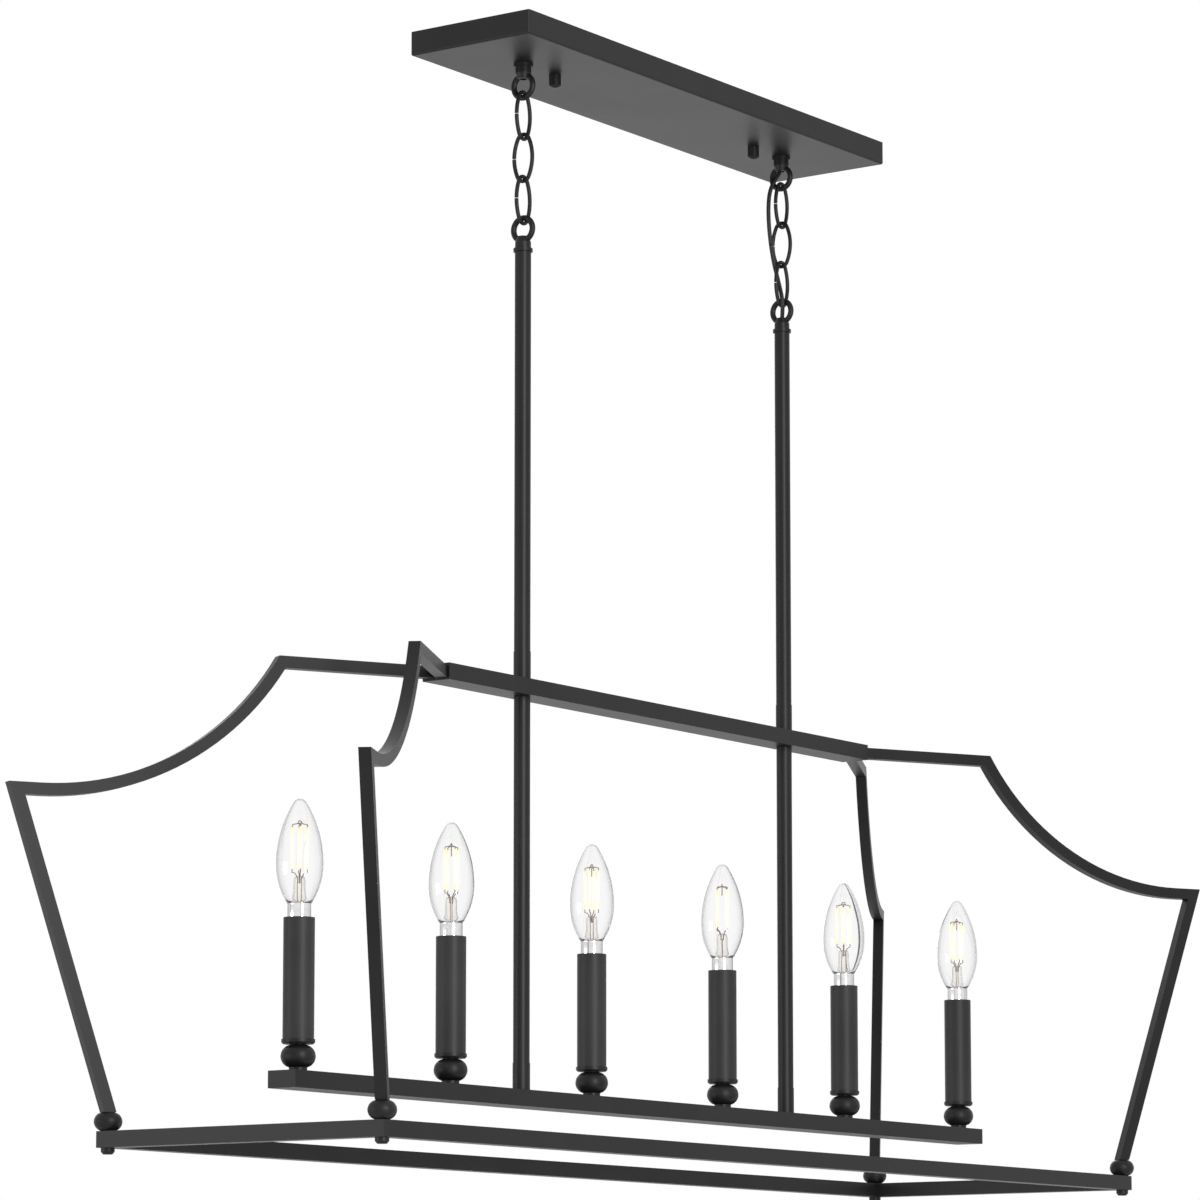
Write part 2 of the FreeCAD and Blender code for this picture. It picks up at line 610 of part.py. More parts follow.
# Lamp sockets inside the sleeves, each standing on its nipple's end
SLEEVE_FOOT = "(%s + %s + @cup_floor)" % (BAR_TOP, CUP_SEAT)
SLEEVE_TOP = "(%s + @sleeve_length)" % SLEEVE_FOOT
SOCKET_TOP = "(%s - @collar_sink - 0.3)" % SLEEVE_TOP
socket = new_body("socket")
turned(socket, [("0", "-@socket_length"), ("@socket_diameter / 2", "-@socket_length"),
                ("@socket_diameter / 2", "0"), ("@socket_bore / 2", "0"),
                ("@socket_bore / 2", "-@socket_well"), ("0", "-@socket_well")])
nodes.append(repeated("lamp_sockets", socket, [(x, "0", SOCKET_TOP) for x in CANDLES]))

NIPPLE_END = "(%s - @socket_length)" % SOCKET_TOP
riser = new_body("riser")
section = sketch_on(riser, "XY_Plane")
ring(section, "0", "0", "@nipple_diameter")
ring(section, "0", "0", "@nipple_bore")
pad(riser, section, "%s - %s + @bar_wall + 4" % (NIPPLE_END, BAR_TOP), reverse=True)
nodes.append(repeated("candle_nipples", riser, [(x, "0", NIPPLE_END) for x in CANDLES]))


def glass_curve(neck, belly, top, tip):
    """Half section corners up a candle lamp's glass: flare, belly and rounded tip."""
    wide = "((%s - %s) / 2)" % (belly, neck)
    flare = "((%s ^ 2 + @glass_belly_height ^ 2) / (2 * %s))" % (wide, wide)
    rise = "(%s - %s - @glass_belly_height)" % (top, tip)
    sweep = "(((%s / 2) ^ 2 + %s ^ 2 - %s ^ 2) / (2 * (%s / 2 - %s)))" % (
        belly, rise, tip, belly, tip)
    share = "(%s / (%s - %s))" % (tip, sweep, tip)
    return [("%s / 2" % neck, "0", "-" + flare),
            ("%s / 2" % belly, "@glass_belly_height", "-" + sweep),
            ("(%s - %s / 2) * %s" % (sweep, belly, share),
             "%s - %s + %s * %s" % (top, tip, rise, share), "-" + tip), ("0", top)]


def inwards(corners):
    """The same curve walked back down, for a wall's inner face."""
    back = []
    for k in range(len(corners) - 1, 0, -1):
        bend = corners[k - 1][2]
        back.append(corners[k][:2] + (bend[1:],))
    return back + [corners[0][:2]]


LAMP_FOOT = "(%s - @collar_sink)" % SLEEVE_TOP
for count in range(6):
    # Candle sleeve: a plain round tube standing in its cup
    sleeve = new_body("candle_sleeve_%d" % (count + 1))
    section = sketch_on(sleeve, "XY_Plane")
    ring(section, "0", "0", "@sleeve_diameter")
    ring(section, "0", "0", "@sleeve_diameter - 2 * @sleeve_wall")
    pad(sleeve, section, "@sleeve_length")
    nodes.append(place(sleeve, CANDLES[count], "0", SLEEVE_FOOT))

    # Lamp base: collar, thread and end contact
    base = new_body("bulb_base_%d" % (count + 1))
    full = "(@collar_height + @collar_sink)"
    turned(base, [("0", "0 - @lamp_thread_length - @lamp_contact_height"),
                  ("@lamp_contact_diameter / 2", "0 - @lamp_thread_length - @lamp_contact_height"),
                  ("@lamp_thread_diameter / 2 - 1", "-@lamp_thread_length"),
                  ("@lamp_thread_diameter / 2", "1 - @lamp_thread_length"),
                  ("@lamp_thread_diameter / 2", "0"), ("@collar_diameter / 2", "0"),
                  ("@collar_diameter / 2", full), ("0", full)])
    nodes.append(place(base, CANDLES[count], "0", LAMP_FOOT))

    # Lamp glass: a thin blown candle shape, open at its neck
    glass = new_body("bulb_glass_%d" % (count + 1))
    outer = glass_curve("@glass_neck_diameter", "@glass_diameter", "@glass_height",
                        "@glass_tip_radius")
    inner = glass_curve("(@glass_neck_diameter - 2 * @glass_wall)",
                        "(@glass_diameter - 2 * @glass_wall)", "(@glass_height - @glass_wall)",
                        "(@glass_tip_radius - @glass_wall)")
    turned(glass, outer + inwards(inner))
    nodes.append(place(glass, CANDLES[count], "0", "%s + %s" % (LAMP_FOOT, full)))

    # Lamp inside: glass press on the base and four glowing rods round it
    press = new_body("bulb_filament_%d" % (count + 1))
    foot = "@press_diameter / 2"
    turned(press, [("0", "0"), (foot, "0"), ("%s * 0.8" % foot, "@press_height * 0.75"),
                   ("@filament_circle / 2 + @filament_diameter", "@press_height"),
                   ("@filament_circle / 2 + @filament_diameter", "@press_height + 1"),
                   ("%s * 0.25" % foot, "@press_height + 1"),
                   ("%s * 0.12" % foot, "@press_height + @filament_length"), ("0",
                    "@press_height + @filament_length")])
    doc.recompute()
    rod = sketch_on(press, "XY_Plane", raised="@press_height + 1")
    ring(rod, "@filament_circle / 2", "0", "@filament_diameter")
    glow = pad(press, rod, "@filament_length")
    circle = press.newObject("PartDesign::PolarPattern", press.Name + "_rods")
    circle.Originals = [glow]
    circle.Axis = (rod, ["N_Axis"])
    circle.setExpression("Occurrences", expr("@filament_count"))
    circle.Angle = 360.0
    press.Tip = circle
    nodes.append(place(press, CANDLES[count], "0", "%s + %s" % (LAMP_FOOT, full)))

doc.recompute()

# Supply cord: out of the canopy loop's bore, beside the chain, through the last link and
# into the stem's bore. Its points are offsets from the hanging line, at heights from the
# ceiling down to the ring below.
HANG = number(HANG_X)
SEAT = number("@canopy_height")
points = [Vector(HANG + dx, dy, -SEAT - down) for dx, dy, down in (
    (0, 0, 3), (0, 0, 12), (-6, 1.8, 19.5), (-11.8, 4.2, 31), (-13.2, 4.6, 49),
    (-11, 4.4, 71), (-5, 4.6, 91), (-3.4, 0.4, 109), (-5.2, -4.4, 124.5), (-2, -1.9, 133.5),
    (0, 0, 140), (0, 0, 149))]
edges = []
start = points[0]
for before, corner, after in zip(points, points[1:], points[2:]):
    into, out = corner - before, after - corner
    half_turn = into.getAngle(out) / 2
    shorter = min(into.Length, out.Length)
    trim = 0.45 * shorter
    print("cord bend radius %.1f" % (trim / math.tan(half_turn)))
    a = corner - Vector(into).normalize() * trim
    b = corner + Vector(out).normalize() * trim
    inward = (Vector(out).normalize() - Vector(into).normalize()).normalize()
    radius = trim / math.tan(half_turn)
    deep = radius / math.cos(half_turn) - radius
    edges.append(Part.LineSegment(start, a).toShape())
    edges.append(Part.Arc(a, corner + inward * deep, b).toShape())
    start = b
edges.append(Part.LineSegment(start, points[-1]).toShape())
route = Part.Wire(edges)
section = Part.Wire([Part.Circle(points[0], points[1] - points[0],
                                 number("@cord_diameter") / 2).toShape()])
cord = doc.addObject("Part::Feature", "supply_cord")
cord.Label = "supply_cord"
cord.Shape = route.makePipeShell([section], True, False)
cord.Placement = Placement()
nodes.append(cord)
print("cord length %.1f, volume %.1f, section times length %.1f" % (
    route.Length, cord.Shape.Volume,
    route.Length * math.pi * number("@cord_diameter") ** 2 / 4))

doc.recompute()
for item in doc.Objects:
    if "Invalid" in item.State or "Error" in item.State:
        raise RuntimeError("%s failed: %s" % (item.Label, item.State))
for node in nodes:
    if node.Shape.isNull() or not node.Shape.isValid():
        raise RuntimeError("%s has no valid shape" % node.Label)

os.makedirs("parts", exist_ok=True)
for node in nodes:
    node.Shape.exportStep(os.path.join("parts", node.Label + ".step"))
print("%d nodes" % len(nodes))
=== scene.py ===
import json
import math

import bpy
from mathutils import Matrix, Vector


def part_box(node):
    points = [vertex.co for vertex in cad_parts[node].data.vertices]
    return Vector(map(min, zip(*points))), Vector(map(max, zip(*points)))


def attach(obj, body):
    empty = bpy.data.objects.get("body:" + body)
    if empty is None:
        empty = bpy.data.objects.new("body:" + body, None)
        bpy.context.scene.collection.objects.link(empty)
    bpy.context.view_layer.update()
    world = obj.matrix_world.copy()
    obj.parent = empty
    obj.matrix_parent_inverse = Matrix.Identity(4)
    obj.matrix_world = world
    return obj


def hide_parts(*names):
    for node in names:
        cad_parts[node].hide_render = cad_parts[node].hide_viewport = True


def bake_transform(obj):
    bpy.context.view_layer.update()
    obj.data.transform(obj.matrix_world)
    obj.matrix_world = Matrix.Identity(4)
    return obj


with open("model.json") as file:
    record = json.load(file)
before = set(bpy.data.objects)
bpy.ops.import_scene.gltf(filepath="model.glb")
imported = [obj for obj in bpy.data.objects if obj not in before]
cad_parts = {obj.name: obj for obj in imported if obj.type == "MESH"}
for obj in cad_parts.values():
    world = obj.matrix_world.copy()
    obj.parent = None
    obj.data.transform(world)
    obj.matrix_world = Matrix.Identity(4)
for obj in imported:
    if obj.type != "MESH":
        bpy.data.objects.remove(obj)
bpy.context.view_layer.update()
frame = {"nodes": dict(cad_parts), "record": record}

scene = bpy.context.scene


# ---------------------------------------------------------------- camera, room and lights

CAMERA_PLACE = (-3.2879, -2.2886, -1.0649)
CAMERA_TILT, CAMERA_HEADING = math.radians(97.8), math.radians(-54.5)
FOCAL_LENGTH, LENS_RISE = 152.09, 0.1


def aim_camera():
    """Stands where the photograph was taken from: low, to the left, with a long lens."""
    data = bpy.data.cameras.new("camera")
    data.sensor_width = 36
    data.lens = FOCAL_LENGTH
    data.shift_y = LENS_RISE
    data.clip_start, data.clip_end = 0.05, 60
    camera = bpy.data.objects.new("camera", data)
    camera.location = CAMERA_PLACE
    camera.rotation_euler = (CAMERA_TILT, 0, CAMERA_HEADING)
    scene.collection.objects.link(camera)
    scene.camera = camera


aim_camera()
scene.view_settings.view_transform = "Standard"


class Value:
    """A node's output socket, which sums, products and powers can be written with."""

    def __init__(self, maker, socket):
        self.maker, self.socket = maker, socket

    def _with(self, operation, a, b):
        return self.maker.node("ShaderNodeMath", {"operation": operation}, {0: a, 1: b})

    def __add__(self, other):
        return self._with("ADD", self, other)

    def __radd__(self, other):
        return self._with("ADD", other, self)

    def __sub__(self, other):
        return self._with("SUBTRACT", self, other)

    def __mul__(self, other):
        return self._with("MULTIPLY", self, other)

    def __pow__(self, other):
        return self._with("POWER", self, other)


class Nodes:
    """The node tree of a world or a material, written from an empty start."""

    def __init__(self, owner, ending):
        owner.use_nodes = True
        self.owner = owner
        self.tree = owner.node_tree
        self.tree.nodes.clear()
        self.result = self.tree.nodes.new(ending)

    def node(self, kind, settings=None, inputs=None, output=0):
        made = self.tree.nodes.new(kind)
        for name, value in (settings or {}).items():
            if name == "stops":
                ramp = made.color_ramp
                for index, (place, colour) in enumerate(value):
                    stop = ramp.elements[index] if index < 2 else ramp.elements.new(place)
                    stop.position = place
                    stop.color = (*colour, 1)
            else:
                setattr(made, name, value)
        for name, value in (inputs or {}).items():
            if isinstance(value, Value):
                self.tree.links.new(value.socket, made.inputs[name])
            else:
                made.inputs[name].default_value = value
        return Value(self, made.outputs[output])

    def surface(self, shader):
        self.tree.links.new(shader.socket, self.result.inputs["Surface"])
        return self.owner


class Finish(Nodes):
    """One material, with what its finish is made of."""

    def __init__(self, name):
        super().__init__(bpy.data.materials.new(name), "ShaderNodeOutputMaterial")

    def spot(self):
        return self.node("ShaderNodeTexCoord", output="Object")

    def place(self, scale=(1, 1, 1)):
        return self.node("ShaderNodeMapping", {}, {"Vector": self.spot(), "Scale": scale})

    def noise(self, size, detail=3, place=None):
        """Soft noise whose grains are about size metres across."""
        return self.node("ShaderNodeTexNoise", {}, {
            "Vector": place or self.place(), "Scale": 1 / size, "Detail": detail,
            "Roughness": 0.5})

    def colours(self, factor, *stops):
        return self.node("ShaderNodeValToRGB", {"stops": stops}, {"Fac": factor})

    def bump(self, height, distance, strength=1.0):
        return self.node("ShaderNodeBump", {}, {
            "Height": height, "Distance": distance, "Strength": strength})

    def edge_on(self, power):
        """0 where the surface faces the eye, rising to 1 where it is seen edge on."""
        return self.node("ShaderNodeLayerWeight", {}, {"Blend": 0.5}, output="Facing") ** power

    def mixed(self, factor, first, second):
        return self.node("ShaderNodeMixShader", {}, {0: factor, 1: first, 2: second})

    def principled(self, **inputs):
        named = {name.replace("_", " "): value for name, value in inputs.items()}
        return self.node("ShaderNodeBsdfPrincipled", {}, named)


def grey(level):
    return (level, level, level)


WHITE = (1, 1, 1, 1)
ROOM_LIGHT = 0.55
FLOOR_HEIGHT, FLOOR_SIZE = -2.1, 40
SHADOW_REACH, PAPER_REACH = 1.0, 4.5


def seen(nodes):
    """1 for a ray from the eye, off a gloss or through glass, and 0 for gathered light."""
    total = sum(nodes.node("ShaderNodeLightPath", output="Is %s Ray" % kind)
                for kind in ("Camera", "Glossy", "Transmission"))
    return nodes.node("ShaderNodeMath", {"operation": "MINIMUM"}, {0: total, 1: 1.0})


def make_world():
    """White all round to the eye, in a gloss and through glass, and dimmer as light."""
    scene.world = bpy.data.worlds.new("studio")
    air = Nodes(scene.world, "ShaderNodeOutputWorld")
    strength = seen(air) * (1 - ROOM_LIGHT) + ROOM_LIGHT
    air.surface(air.node("ShaderNodeBackground", {}, {"Color": WHITE, "Strength": strength}))


def floor_paper():
    """Paper that keeps a faint shadow near the middle, goes white outwards, and has no back."""
    paper = Finish("floor_paper")
    tone = paper.colours(paper.noise(0.02), (0.3, grey(0.83)), (0.7, grey(0.86)))
    matt = paper.principled(Base_Color=tone, Roughness=0.9)
    white = paper.node("ShaderNodeEmission", {}, {"Color": WHITE, "Strength": 1.0})
    away = paper.node("ShaderNodeVectorMath", {"operation": "LENGTH"}, {0: paper.spot()},
                      output="Value")
    fade = paper.node("ShaderNodeMapRange", {}, {
        "Value": away, "From Min": SHADOW_REACH, "From Max": PAPER_REACH,
        "To Min": 0.75, "To Max": 1.0})
    sheet = paper.mixed(seen(paper) * fade, matt, white)
    under = paper.node("ShaderNodeNewGeometry", output="Backfacing")
    gone = paper.node("ShaderNodeBsdfTransparent", {}, {"Color": WHITE})
    return paper.surface(paper.mixed(under, sheet, gone))


def lay_floor():
    bpy.ops.object.select_all(action="DESELECT")
    bpy.ops.mesh.primitive_plane_add(size=FLOOR_SIZE, location=(0, 0, FLOOR_HEIGHT))
    floor = bpy.context.object
    floor.name = "floor"
    floor.data.materials.append(floor_paper())


def softbox(name, place, aim, size, power):
    """A soft lamp of so many watts that the eye doesn't see, either straight or through glass."""
    data = bpy.data.lights.new(name, "AREA")
    data.shape = "RECTANGLE"
    data.size, data.size_y = size
    data.energy = power
    lamp = bpy.data.objects.new(name, data)
    lamp.location = place
    lamp.visible_camera = lamp.visible_transmission = False
    lamp.rotation_euler = (Vector(aim) - Vector(place)).to_track_quat("-Z", "Y").to_euler()
    scene.collection.objects.link(lamp)


make_world()
lay_floor()
softbox("key", (-1.6, -2.8, -0.2), (0, 0, -0.5), (0.45, 2.6), 90)
softbox("fill", (-3.1, 1.95, -0.8), (-0.3, 0, -0.85), (1.6, 0.9), 24)
softbox("back", (2.4, 2.4, 0.4), (0, 0, -0.5), (2.0, 2.0), 16)


# ---------------------------------------------------------------- finishes

def black_paint(name="black_paint", rough=0.42, tone=1.0):
    """Satin black powder coat: a faint orange peel, dust-fine speckle and uneven gloss; a tone
    above 1 lifts the colour as a painted highlight.
    """
    paint = Finish(name)
    peel = paint.noise(0.0022, 2)
    speckle = paint.noise(0.0005, 2)
    cloud = paint.noise(0.07, 3)
    dark, light = (0.007, 0.007, 0.0075), (0.0115, 0.0115, 0.0121)
    # tone scales both colours; above 1 it paints the paint paler, as painted highlight
    colour = paint.colours(cloud * 0.6 + speckle * 0.4, (0.35, [tone * c for c in dark]),
                           (0.65, [tone * c for c in light]))
    gloss = cloud * 0.07 + speckle * 0.05 + (rough - 0.06)
    relief = paint.bump(peel * 0.6 + speckle * 0.4, 0.00006, 0.6)
    return paint.surface(paint.principled(
        Base_Color=colour, Roughness=gloss, Normal=relief, IOR=1.5, Specular_IOR_Level=0.2))


def zinc_plate():
    """Bright zinc on the fastenings: spangled, and streaked along the bar it was cut from."""
    zinc = Finish("zinc_plate")
    streak = zinc.noise(0.0009, 3, place=zinc.place((0.08, 1, 1)))
    spangle = zinc.noise(0.006, 2)
    colour = zinc.colours(spangle, (0.3, (0.55, 0.55, 0.53)), (0.7, (0.68, 0.68, 0.67)))
    return zinc.surface(zinc.principled(
        Base_Color=colour, Metallic=1.0, Roughness=streak * 0.18 + 0.28,
        Normal=zinc.bump(streak, 0.00003, 0.5)))


def socket_moulding():
    """The sockets' ivory moulding, a little uneven in colour."""
    moulding = Finish("socket_moulding")
    fine = moulding.noise(0.0008, 2)
    colour = moulding.colours(moulding.noise(0.01), (0.3, (0.62, 0.6, 0.54)),
                              (0.7, (0.7, 0.68, 0.62)))
    return moulding.surface(moulding.principled(
        Base_Color=colour, Roughness=fine * 0.12 + 0.42, Normal=moulding.bump(fine, 0.00004)))


def polished_cap():
    """The lamp's nickel shell: rolled bright, with fine turned lines round it, and a painted
    reflection on its sides: a near-black gloss mixed in where it is seen edge on, in place of the
    dark room the metal would mirror.
    """
    cap = Finish("polished_cap")
    lines = cap.noise(0.0006, 2, place=cap.place((0.05, 0.05, 1)))
    smudge = cap.noise(0.004, 3)
    colour = cap.colours(smudge, (0.3, (0.7, 0.7, 0.71)), (0.7, (0.78, 0.78, 0.79)))
    bright = cap.principled(
        Base_Color=colour, Metallic=0.9, Roughness=smudge * 0.06 + 0.08,
        Normal=cap.bump(lines, 0.00002, 0.4))
    # Painted reflection: near-black gloss for the sides seen edge on, standing in for mirrored
    # dark surroundings
    dark = cap.principled(Base_Color=(0.02, 0.02, 0.022, 1), Roughness=0.3)
    return cap.surface(cap.mixed(cap.edge_on(2), bright, dark))


def clear_glass(name, rim_painted_shade, wave, tint):
    """Thin blown glass, rippled by wave metres, with painted shade along its rims: a dark gloss
    mixed in where it is seen edge on, as strongly as the second argument sets.
    """
    glass = Finish(name)
    ripple = glass.noise(0.012, 1)
    skin = glass.principled(
        Base_Color=(*tint, 1), Roughness=0.0, IOR=1.45, Transmission_Weight=1.0,
        Normal=glass.bump(ripple, wave, 0.5))
    # Painted shade: a near-black gloss that darkens the glass where it is seen edge on, standing
    # in for dark rims
    shade = glass.principled(Base_Color=(0.07, 0.07, 0.075, 1), Roughness=0.15)
    return glass.surface(glass.mixed(glass.edge_on(3) * rim_painted_shade, skin, shade))


# The plain filament solid starts with its press, and its rods begin this far above its foot
PRESS_RISE = 0.0225


def glowing_phosphor():
    """The lit rods: warm yellow at their ends and near white in their middle."""
    rod = Finish("glowing_phosphor")
    grain = rod.noise(0.0007, 2)
    height = rod.node("ShaderNodeSeparateXYZ", {}, {0: rod.spot()}, output=2)
    low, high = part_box("bulb_filament_1")
    middle = (low[2] + PRESS_RISE + high[2]) / 2
    away = rod.node("ShaderNodeMath", {"operation": "ABSOLUTE"}, {0: height - middle})
    glow = rod.colours(away * 55 + grain * 0.1, (0.5, (1.0, 0.99, 0.88)),
                       (0.8, (1.0, 0.94, 0.66)), (0.98, (1.0, 0.74, 0.32)))
    return rod.surface(rod.principled(
        Base_Color=(0.2, 0.15, 0.05, 1), Roughness=0.5, Emission_Color=glow,
        Emission_Strength=0.95))


def lead_wire():
    """Dull coppery wire."""
    wire = Finish("lead_wire")
    dull = wire.noise(0.0008, 2)
    colour = wire.colours(dull, (0.3, (0.2, 0.14, 0.115)), (0.7, (0.34, 0.25, 0.21)))
    return wire.surface(wire.principled(
        Base_Color=colour, Metallic=0.85, Roughness=dull * 0.15 + 0.25))


def cord_sheath():
    """The mains cord's smooth black sheath."""
    sheath = Finish("cord_sheath")
    fine = sheath.noise(0.0009, 2)
    colour = sheath.colours(sheath.noise(0.02), (0.3, (0.009, 0.009, 0.0095)),
                            (0.7, (0.014, 0.014, 0.0145)))
    return sheath.surface(sheath.principled(
        Base_Color=colour, Roughness=fine * 0.1 + 0.36, Normal=sheath.bump(fine, 0.00004),
        Specular_IOR_Level=0.22))


PAINT = black_paint()
# A paler copy of the paint for the candle sleeves: painted highlight standing in for their sheen
SLEEVE_PAINTED_HIGHLIGHT = black_paint("sleeve_paint_painted_highlight", 0.48, 2.4)
ZINC = zinc_plate()
MOULDING = socket_moulding()
CAP = polished_cap()
# Both glasses get painted rim shade, 0.8 on the bulb and 0.9 on the press
BULB_GLASS = clear_glass("bulb_glass", 0.8, 0.00004, (0.97, 0.97, 0.972))
PRESS_GLASS = clear_glass("press_glass", 0.9, 0.0003, (0.98, 0.955, 0.93))
PHOSPHOR = glowing_phosphor()
WIRE = lead_wire()
SHEATH = cord_sheath()
BY_SLOT = {"black_paint": PAINT, "zinc": ZINC, "socket_plastic": MOULDING,
           "lamp_glass": BULB_GLASS, "lamp_cap": CAP, "lamp_filament": PHOSPHOR,
           "cord_sheath": SHEATH}


def paint_solids():
    """The candle sleeves are a shade paler than the rest of the black: a painted highlight
    standing in for the sheen on their round sides.
    """
    for part in frame["record"]["subparts"]:
        mesh = frame["nodes"][part["node"]].data
        mesh.materials.clear()
        sleeve = part["node"].startswith("candle_sleeve")
        mesh.materials.append(SLEEVE_PAINTED_HIGHLIGHT if sleeve else BY_SLOT[part["material_slot"]])


paint_solids()


# ---------------------------------------------------------------- supply cord

# Millimetres right of, behind and below the middle of the canopy's hole
ROUTE = [(0, 0, 3), (0, 0, 12), (-6, 1.8, 19.5), (-11.8, 4.2, 31), (-13.2, 4.6, 49),
         (-11, 4.4, 71), (-5, 4.6, 91), (-3.4, 0.4, 109), (-5.2, -4.4, 124.5),
         (-2, -1.9, 133.5), (0, 0, 140), (0, 0, 149)]
HANG_X, CANOPY_UNDERSIDE = 0.1825, -0.019
CORD, CORD_SIDES = 0.0035, 20
CHAIN = ("canopy", "right_link_1", "right_link_2", "right_link_3", "fixture")
CORD_CUTS = (-0.058, -0.094, -0.130)


def cord_line():
    """Points along the cord's smooth line, top to bottom."""
    curve = bpy.data.curves.new("cord_line", "CURVE")
    curve.dimensions = "3D"
    curve.resolution_u = 16
    spline = curve.splines.new("NURBS")
    spline.points.add(len(ROUTE) - 1)
    for point, (dx, dy, down) in zip(spline.points, ROUTE):
        point.co = (HANG_X + dx / 1000, dy / 1000, CANOPY_UNDERSIDE - down / 1000, 1)
    spline.order_u = 3
    spline.use_endpoint_u = True
    holder = bpy.data.objects.new("cord_line", curve)
    scene.collection.objects.link(holder)
    bpy.context.view_layer.update()
    mesh = bpy.data.meshes.new_from_object(holder)
    points = [v.co.copy() for v in mesh.vertices]
    bpy.data.meshes.remove(mesh)
    bpy.data.objects.remove(holder)
    return points


def cord_piece(name, points):
    """A round tube along points, with closed ends."""
    sides = CORD_SIDES
    rows = []
    across = Vector((0, 1, 0))
    for index, point in enumerate(points):
        ahead = points[min(index + 1, len(points) - 1)] - points[max(index - 1, 0)]
        ahead.normalize()
        across = (across - ahead * across.dot(ahead)).normalized()
        other = ahead.cross(across)
        rows.append([point + (across * math.cos(a) + other * math.sin(a)) * CORD / 2
                     for a in (2 * math.pi * k / sides for k in range(sides))])
    verts = [v for row in rows for v in row]
    faces = []
    for r in range(len(rows) - 1):
        for k in range(sides):
            a, b = r * sides + k, r * sides + (k + 1) % sides
            faces.append((a, b, b + sides, a + sides))
    faces.append(tuple(range(sides))[::-1])
    faces.append(tuple((len(rows) - 1) * sides + k for k in range(sides)))
    mesh = bpy.data.meshes.new(name)
    mesh.from_pydata(verts, [], faces)
    mesh.polygons.foreach_set("use_smooth", [len(f) == 4 for f in faces])
    mesh.materials.append(SHEATH)
    piece = bpy.data.objects.new(name, mesh)
    scene.collection.objects.link(piece)
    return piece


def hang_cord():
    """Four stretches of the cord, cut at set heights, one for each piece of the chain below the
    canopy; each ends where the next begins.
    """
    line = cord_line()
    spans = [[] for stretch in CHAIN[1:]]
    for point in line:
        spans[sum(point.z < cut for cut in CORD_CUTS)].append(point)
    for span, following in zip(spans, spans[1:]):
        span.append(following[0].copy())
    for index, span in enumerate(spans):
        piece = cord_piece("supply_cord_%d" % (index + 1), span)
        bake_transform(piece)
        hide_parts("supply_cord")


hang_cord()


# ---------------------------------------------------------------- lamps

def start_ring(radius, height, count):
    """A ring of count points, left selected in edit mode for draw_up."""
    bpy.ops.object.select_all(action="DESELECT")
    bpy.ops.mesh.primitive_circle_add(vertices=count, radius=radius, location=(0, 0, height))
    bpy.ops.object.mode_set(mode="EDIT")
    bpy.ops.mesh.select_all(action="SELECT")


def draw_up(steps):
    """Extrudes the ring, which is at the first (radius, height) of steps, through the rest."""
    for (r0, z0), (r1, z1) in zip(steps, steps[1:]):
        bpy.ops.mesh.extrude_edges_move(
            TRANSFORM_OT_translate={"value": (0, 0, z1 - z0)})
        factor = r1 / r0
        bpy.ops.transform.resize(value=(factor, factor, 1), center_override=(0, 0, z1))


def end_shape(name, material, close=True):
    """Finishes what draw_up drew, its last ring drawn together to a point if close is set."""
    if close:
        bpy.ops.mesh.merge(type="CENTER")
    bpy.ops.mesh.select_all(action="SELECT")
    bpy.ops.mesh.normals_make_consistent(inside=False)
    bpy.ops.object.mode_set(mode="OBJECT")
    shape = bpy.context.object
    shape.name = name
    bpy.ops.object.transform_apply(location=True, rotation=True, scale=True)
    bpy.ops.object.shade_smooth()
    shape.data.materials.append(material)
    return shape


WALL = 0.0007


def thicken(piece):
    """Gives blown glass its wall, inwards from the outline."""
    wall = piece.modifiers.new("wall", "SOLIDIFY")
    wall.thickness = WALL
    wall.offset = -1
    bpy.ops.object.modifier_apply(modifier="wall")
    return piece


def joined(pieces, name):
    bpy.ops.object.select_all(action="DESELECT")
    for piece in pieces:
        piece.select_set(True)
    bpy.context.view_layer.objects.active = pieces[0]
    bpy.ops.object.join()
    whole = bpy.context.object
    whole.name = name
    whole.data.name = name
    return whole


def bent_wire(points, radius=0.0004):
    """A length of round wire through points, as a mesh."""
    curve = bpy.data.curves.new("wire", "CURVE")
    curve.dimensions = "3D"
    curve.bevel_depth = radius
    curve.bevel_resolution = 2
    curve.resolution_u = 4
    curve.use_fill_caps = True
    spline = curve.splines.new("POLY")
    spline.points.add(len(points) - 1)
    for point, spot in zip(spline.points, points):
        point.co = (*spot, 1)
    holder = bpy.data.objects.new("wire", curve)
    scene.collection.objects.link(holder)
    bpy.context.view_layer.update()
    mesh = bpy.data.meshes.new_from_object(holder)
    bpy.data.objects.remove(holder)
    piece = bpy.data.objects.new("wire", mesh)
    scene.collection.objects.link(piece)
    return piece


# Radii of the neck, the belly and the tip, and heights of the whole glass and of the belly
NECK, BELLY, TIP = 0.00865, 0.0175, 0.0056
TALL, WAIST = 0.0764, 0.0288
FLARE_RINGS, BELLY_RINGS, TIP_RINGS = 10, 15, 6


